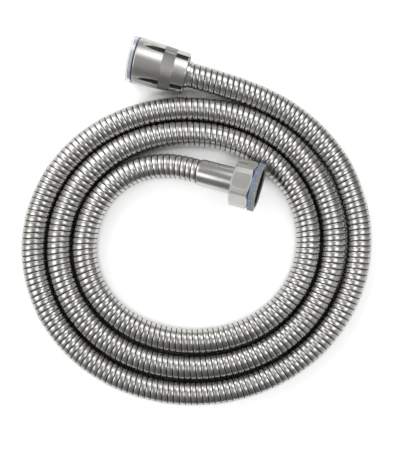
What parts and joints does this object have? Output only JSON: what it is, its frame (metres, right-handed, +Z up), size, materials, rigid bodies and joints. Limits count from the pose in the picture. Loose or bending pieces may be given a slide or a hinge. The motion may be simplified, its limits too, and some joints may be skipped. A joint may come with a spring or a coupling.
{
  "type": "shower hose",
  "caption": "Coiled steel shower hose: spiral metal casing over a rubber tube, with a round grip nut and a hexagon nut that turn on crimped end fittings.",
  "frame": {"origin": "middle of the whole part's box in plan, on the surface that the coil lies on", "axes": "+Z upwards off the surface, +X from the coil's middle towards the side that the hexagon nut faces, +Y towards the round grip nut's side"},
  "size_m": [0.2031, 0.2117, 0.0316],
  "materials": {
    "casing_steel": "polished interlocked stainless strip wound as a ribbed spiral",
    "ferrule_steel": "smooth polished stainless sleeve",
    "nut_steel": "satin turned stainless with a matte knurled band on the round nut",
    "insert_brass": "plain turned brass",
    "tube_rubber": "plain black rubber tube",
    "washer_rubber": "flat black rubber sealing ring",
    "slip_nylon": "natural nylon bearing ring",
    "clear_plastic": "clear plastic with a blue tint"
  },
  "bodies": {
    "hose": {"hose_casing": "casing_steel", "inner_tube": "tube_rubber", "grip_insert": "insert_brass", "grip_ferrule": "ferrule_steel", "grip_washer": "washer_rubber", "hex_insert": "insert_brass", "hex_ferrule": "ferrule_steel", "hex_washer": "washer_rubber"},
    "grip_slider": {"grip_slip_ring": "slip_nylon"},
    "grip_turner": {"grip_nut": "nut_steel", "grip_clear_ring": "clear_plastic"},
    "hex_slider": {"hex_slip_ring": "slip_nylon"},
    "hex_turner": {"hex_nut": "nut_steel", "hex_clear_ring": "clear_plastic"}
  },
  "joints": [
    {"name": "grip_slide", "type": "slide", "parent": "hose", "child": "grip_slider", "axis": [0.9671, -0.2483, -0.0551], "range_m": [0, 0.003]},
    {"name": "grip_spin", "type": "hinge", "parent": "grip_slider", "child": "grip_turner", "pos_m": [-0.02163, 0.08943, 0.01282], "axis": [-0.9671, 0.2483, 0.0551], "continuous": true},
    {"name": "hex_slide", "type": "slide", "parent": "hose", "child": "hex_slider", "axis": [-0.941, 0.2734, -0.1994], "range_m": [0, 0.01]},
    {"name": "hex_spin", "type": "hinge", "parent": "hex_slider", "child": "hex_turner", "pos_m": [0.02824, 0.02155, 0.0183], "axis": [0.941, -0.2734, 0.1994], "continuous": true}
  ]
}
